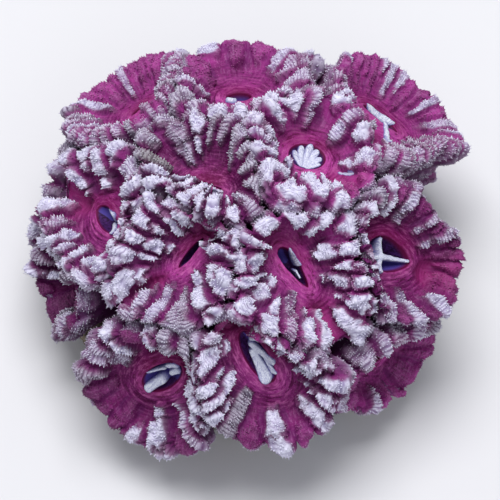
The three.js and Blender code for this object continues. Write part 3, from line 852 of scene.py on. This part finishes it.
def flesh_attributes(name, grid, ridge, disc, slope, rib, lobe, seed):
    """What the flesh's colours follow, of about 0 to 1: frosting, wear, shade and so on by where a place is
    on the polyp and on its ridge. Flow is a vector that runs round the mouth and along the flesh."""
    share, down, angle, arc, fade = grid.share, grid.down, grid.angle, grid.arc, grid.fade
    over = 1 - 0.8 * smoothstep(0.02, 0.4, down) - 0.35 * smoothstep(0.86, 1.0, share)
    upper = smoothstep(-0.2, 0.8, np.sin(angle))
    valley = np.zeros_like(arc)
    for dip in DIPS.get(name, []):
        valley = valley + bell(angle, dip["angle"], 1.5 * dip["width"])
    fringe = smoothstep(0.78, 0.95, share) * (1 - smoothstep(0, 0.2, down))
    cleft = (1 - ridge.dome) * smoothstep(ridge.start, ridge.start + 0.12, share)
    frosting = ridge.white * ridge.paler * smoothstep(0.2, 0.8, ridge.crown ** 2)
    frosting = frosting * smoothstep(ridge.start, ridge.start + 0.12, ridge.inward) * over
    grey_wear_and_tip_light = ridge.grey * smoothstep(1.0, 0.6, ridge.flank) * ridge.nose + (1 - over) * fade
    # Painted shade in the clefts between ridges and lumps, in the creases near the edge and down the stalk.
    hollow = np.clip(0.9 * cleft + 0.7 * smoothstep(0.85, 1.0, share), 0, 1)
    return {
        "white": frosting + fringe * np.clip(0.6 - ridge.white, 0, 1),
        "grey": np.clip(grey_wear_and_tip_light, 0, 1),
        "disc": disc,
        # Painted shade on the slope of the cup, lighter on the ribs.
        "slope": slope * (0.5 - 0.15 * rib),
        # Painted light on the paler lower lip, which faces up, and painted shade on the flesh above the
        # mouth, which slopes down into it.
        "lip": np.exp(-(arc / 0.9) ** 2) * (1 - upper),
        "upper_lip_shade": np.exp(-(arc / 2.2) ** 2) * upper,
        "valley": valley * smoothstep(0.05, 0.3, share) * (1 - smoothstep(0.7, 0.95, share)),
        "bare": smoothstep(0.3, 0.5, share) * fade,
        # Darker along the grooves between the rows of frills: partly their own stripes, partly painted
        # shade.
        "frill_groove": (1 - ridge.frill) * smoothstep(0.2, 0.4, share) * fade,
        "olive": ridge.olive,
        "mouth": 1 - grid.inside,
        "lobe": lobe,
        "blue": smoothstep(0, 0.7, folds(BLUE_FOLDS.get(name, []), grid.face)[0]),
        # Height on the frills and clumps: the colours take it as pale tips and painted shade below them.
        "bud": 0.55 * ridge.frill * (0.4 + 0.6 * ridge.clump) * ridge.shaggy,
        # Painted shade in clefts, creases and down the stalk.
        "hollow": hollow + 0.5 * smoothstep(0, 0.4, down),
        # Painted shade down the stalk, under the rim.
        "stalk": smoothstep(*STALK_BARE, down),
        "flush": np.full_like(arc, POLYPS[name]["flush"]),
        "flow": np.stack([np.cos(angle), np.sin(angle), arc / 4 + seed], -1),
    }


def polyp_piece(name, seed, sides, rows):
    """The cup with its flesh. Ridges, ripples, ribs and frills stand along the normals, which turn outwards
    at the edge. Folds stand out of the dome, and papillae on the frills. Nothing sinks to the floor."""
    grid = polyp_grid(name, sides, rows)
    draw = np.random.default_rng(seed)
    ridge = ridges_at(name, grid, seed, draw)
    disc, slope, rib, ripples, ribs = disc_relief(grid, seed)
    lobe, floor_lift = mouth_relief(name, grid, seed)
    height = ridge_relief(name, grid, ridge, seed) + ripples + ribs
    height = height + frill_relief(grid, ridge, seed)

    outwards = EDGE_TURN * smoothstep(0.8, 1.0, grid.share)[..., None]
    heading = grid.normal * (1 - outwards) + grid.radial * outwards
    heading /= np.linalg.norm(heading, axis=-1, keepdims=True)
    rings = grid.cup + heading * height[..., None] + grid.radial * floor_lift[..., None]
    rings[..., 2] = np.maximum(rings[..., 2], FLOOR_CLEARANCE)

    attributes = flesh_attributes(name, grid, ridge, disc, slope, rib, lobe, seed)
    foot = point_at(face_of(name)[0], np.array(STALK_FOOT_LEVEL))
    flesh = closed_shell(rings[0].mean(0), rings, foot, attributes)
    tufts = papillae(grid, ridge, rings, heading, attributes, seed, draw)
    return joined_piece(name + "_flesh", [flesh, tufts])


MAROON = srgb(98, 14, 80)
BRIGHT_MAGENTA = srgb(182, 66, 156)
VALLEY_PINK = srgb(172, 50, 124)
RIPPLE_PINK = srgb(204, 108, 172)
RIPPLE_SHADE = srgb(74, 0, 52)
SPECKLE_PINK = srgb(176, 82, 152)
SPECK_PINK = srgb(208, 134, 190)
STREAK_PINK = srgb(178, 112, 166)
TIP_PINK = srgb(200, 128, 180)
LOWER_LIP_LIGHT_PINK = srgb(194, 84, 146)
FRILL_GROOVE_SHADE = srgb(60, 4, 52)
SLOPE_SHADE = srgb(64, 4, 54)
UPPER_LIP_SHADE_CRIMSON = srgb(104, 2, 58)
GREY_SHADE = srgb(92, 80, 100)
GREY_TIP = srgb(178, 172, 186)
OLIVE_SHADE = srgb(72, 78, 76)
OLIVE_TIP = srgb(156, 164, 154)
FROST_SHADE = srgb(144, 132, 170)
FROST_TIP = srgb(230, 228, 246)
CREASE_SHADE_PURPLE = srgb(92, 30, 90)
STALK_SHADE_PURPLE = srgb(58, 16, 54)
LIP_SHADE_CRIMSON = srgb(92, 4, 56)
MOUTH_DARK = srgb(36, 10, 48)
MOUTH_VIOLET = srgb(66, 30, 92)
FOLD_BLUE = srgb(80, 68, 152)
FOLD_SHADE = srgb(92, 84, 152)
FOLD_WHITE = srgb(228, 232, 242)
FOLD_STREAK = srgb(112, 108, 172)
FOLD_SPECK = srgb(138, 138, 192)


def flesh_material():
    """Wet flesh: maroon to magenta, with pink ripples round the mouth, grey and olive on worn ridges, and a
    frosting of white tips with lilac between them, partly their own colour and partly painted shade.
    Painted shade darkens creases, stalks, the cup's slope and the flesh above each mouth, and painted
    light brightens the lower lip. The mouth is deep violet, with blue and white folds whose edges take
    painted shade."""
    material, shade, shader = new_material("polyp_flesh", roughness=0.55, specular=0.12)
    bud, disc, flush = shade.attribute("bud"), shade.attribute("disc"), shade.attribute("flush")
    flow = shade.add("ShaderNodeAttribute", {"attribute_name": "flow"}, output="Vector")
    around_mouth = flow.stretched(0.25, 0.25, 1.0)
    along_flesh = flow.stretched(1.6, 1.6, 0.2)
    ripple = shade.noise(0.09, 3.0, around_mouth)
    streak = shade.noise(0.06, 2.0, along_flesh)
    speckle = shade.noise(0.35, 3.0)
    speck = shade.noise(0.16, 2.0)
    patch = shade.noise(3.0, 3.0)

    glow = flush * 0.9 + 0.3
    bright = flush * 0.8 + patch * 0.9 - 0.4
    flesh = bright.between(0.1, 0.9).blend(MAROON, BRIGHT_MAGENTA)
    flesh = (ripple.between(0.52, 0.64) * disc * 0.55).blend(flesh, RIPPLE_PINK)
    flesh = (ripple.between(0.47, 0.36) * disc * 0.8).blend(flesh, RIPPLE_SHADE)
    flesh = (speckle.between(0.5, 0.75) * 0.3).blend(flesh, SPECKLE_PINK)
    flesh = (speck.between(0.6, 0.72) * glow * 0.6).blend(flesh, SPECK_PINK)
    # Darker along the grooves between the rows of frills: partly their own stripes, partly painted shade.
    flesh = (shade.attribute("frill_groove") * 0.5).blend(flesh, FRILL_GROOVE_SHADE)
    flesh = (streak.between(0.5, 0.7) * shade.attribute("bare") * glow * 0.6).blend(flesh, STREAK_PINK)
    flesh = (bud.between(0.5, 1.0) * glow * 0.6).blend(flesh, TIP_PINK)
    # Painted shade on the slope of the cup.
    flesh = (shade.attribute("slope") * 0.55).blend(flesh, SLOPE_SHADE)
    flesh = (shade.attribute("valley") * 0.5).blend(flesh, VALLEY_PINK)
    # Painted light on the lower lip and painted shade on the flesh above the mouth.
    flesh = (shade.attribute("lip") * 0.2).blend(flesh, LOWER_LIP_LIGHT_PINK)
    flesh = (shade.attribute("upper_lip_shade") * 0.6).blend(flesh, UPPER_LIP_SHADE_CRIMSON)

    # By height on the frills, clumps and papillae, for grey, olive and frost alike: pale tips, their own
    # colour, and painted shade on the lower parts between them.
    grey_wear_and_tip_light = bud.between(0.05, 0.55)
    grey = grey_wear_and_tip_light.blend(GREY_SHADE, GREY_TIP)
    olive = grey_wear_and_tip_light.blend(OLIVE_SHADE, OLIVE_TIP)
    skin = (shade.attribute("grey") * 0.85).blend(flesh, shade.attribute("olive").blend(grey, olive))
    frost = bud.between(0.05, 0.6).blend(FROST_SHADE, FROST_TIP)
    frosted = shade.attribute("white") + (patch - 0.5) * 0.4 + (speckle - 0.5) * 0.4 + (bud - 0.4) * 0.4
    skin = frosted.between(0.2, 0.92).blend(skin, frost)
    # Painted shade in the creases and clefts.
    skin = (shade.attribute("hollow") * 0.53).blend(skin, CREASE_SHADE_PURPLE)
    # Painted shade down the stalk.
    skin = (shade.attribute("stalk") * 0.45).blend(skin, STALK_SHADE_PURPLE)

    mouth, fold = shade.attribute("mouth"), shade.attribute("lobe")
    inner = speckle.between(0.35, 0.65).blend(MOUTH_DARK, MOUTH_VIOLET)
    inner = (shade.attribute("blue") * 0.85).blend(inner, FOLD_BLUE)
    # Painted shade: a crimson band just inside the lip, where it folds into the mouth.
    skin = mouth.between(0.0, 0.04).blend(skin, LIP_SHADE_CRIMSON)
    skin = mouth.between(0.04, 0.16).blend(skin, inner)
    # The folds are white along their backs and take painted shade towards their edges.
    white_fold = (fold * 1.3 + speckle * 0.8).between(0.75, 1.6).blend(FOLD_SHADE, FOLD_WHITE)
    white_fold = (streak.between(0.46, 0.6) * 0.6).blend(white_fold, FOLD_STREAK)
    white_fold = (speck.between(0.48, 0.66) * 0.4).blend(white_fold, FOLD_SPECK)
    skin = fold.between(0.15, 0.45).blend(skin, white_fold)
    plug(shader, "Base Color", skin)
    fine = shade.noise(0.28, 3.0) * 0.6 + shade.noise(0.09, 2.0) * 0.25
    plug(shader, "Normal", bumpy(shade, fine, strength=0.5, depth=0.2 * MM))
    return material


# The rear polyps, which are seen less, have fewer sides, and fewer rows of pit, disc, rim and stalk
FINE = dict(sides=204, rows=(20, 12, 66, 10))
COARSE = dict(sides=150, rows=(9, 8, 44, 9))
FIRST_SEED = 100

flesh = flesh_material()
for number, name in enumerate(POLYPS):
    polyp = polyp_piece(name, FIRST_SEED + number, **(COARSE if "rear" in name else FINE))
    polyp.data.materials.append(flesh)
    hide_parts(name)
    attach(polyp, "root")


# The studio
# A plain pale floor that the sawn face stands on, a broad soft light from above and behind, a weaker one
# from the front, and a pale sky that fills the shadows.

FLOOR_SIZE = 1.2
SKY_COLOUR = (0.9, 0.94, 1.0, 1.0)
SKY_STRENGTH = 0.36
LIT_POINT = (0, 0, 0.02)

bpy.ops.mesh.primitive_plane_add(size=FLOOR_SIZE)
floor = bpy.context.object
floor.name = "floor"
floor_material, _, floor_shader = new_material("pale_floor", roughness=0.9, specular=0.1)
floor_shader.inputs["Base Color"].default_value = srgb(224, 224, 226)
floor.data.materials.append(floor_material)

world = bpy.data.worlds.new("studio")
bpy.context.scene.world = world
world.use_nodes = True
sky = world.node_tree.nodes["Background"]
sky.inputs["Color"].default_value = SKY_COLOUR
sky.inputs["Strength"].default_value = SKY_STRENGTH


def soft_light(name, place, size, watts, colour):
    """A square soft box at a place, in metres, turned to the point that is lit."""
    light = bpy.data.lights.new(name, "AREA")
    light.size = size
    light.energy = watts
    light.color = colour
    lamp = bpy.data.objects.new(name, light)
    lamp.location = place
    lamp.rotation_euler = (Vector(LIT_POINT) - Vector(place)).to_track_quat("-Z", "Y").to_euler()
    bpy.context.scene.collection.objects.link(lamp)


soft_light("key", place=(-0.03, 0.1, 0.5), size=0.34, watts=2.5, colour=(0.99, 0.98, 1.0))
soft_light("fill", place=(0.1, -0.45, 0.35), size=0.4, watts=0.6, colour=(0.93, 0.95, 1.0))


# The camera
# It looks along +Y and down at the dome, whose centre comes just left of and below the middle of the
# picture. The lens gives so many pixels to the millimetre there.

CAMERA_ELEVATION = np.radians(58)
CAMERA_DISTANCE = 420 * MM
PIXELS_PER_MM = 7.0
IMAGE_SIZE = 500
AIM_PIXEL = (248, 252)
SENSOR = 36.0

camera = bpy.data.cameras.new("camera")
camera.sensor_width = SENSOR
camera.lens = PIXELS_PER_MM * CAMERA_DISTANCE / MM / IMAGE_SIZE * SENSOR
camera.shift_x = (IMAGE_SIZE / 2 - AIM_PIXEL[0]) / IMAGE_SIZE
camera.shift_y = (AIM_PIXEL[1] - IMAGE_SIZE / 2) / IMAGE_SIZE
camera.clip_start = 0.01
eye = bpy.data.objects.new("camera", camera)
eye.location = (0, -np.cos(CAMERA_ELEVATION) * CAMERA_DISTANCE,
                DOME_CENTRE[2] * MM + np.sin(CAMERA_ELEVATION) * CAMERA_DISTANCE)
eye.rotation_euler = (np.pi / 2 - CAMERA_ELEVATION, 0, 0)
bpy.context.scene.collection.objects.link(eye)
bpy.context.scene.camera = eye
bpy.context.scene.view_settings.view_transform = "Standard"
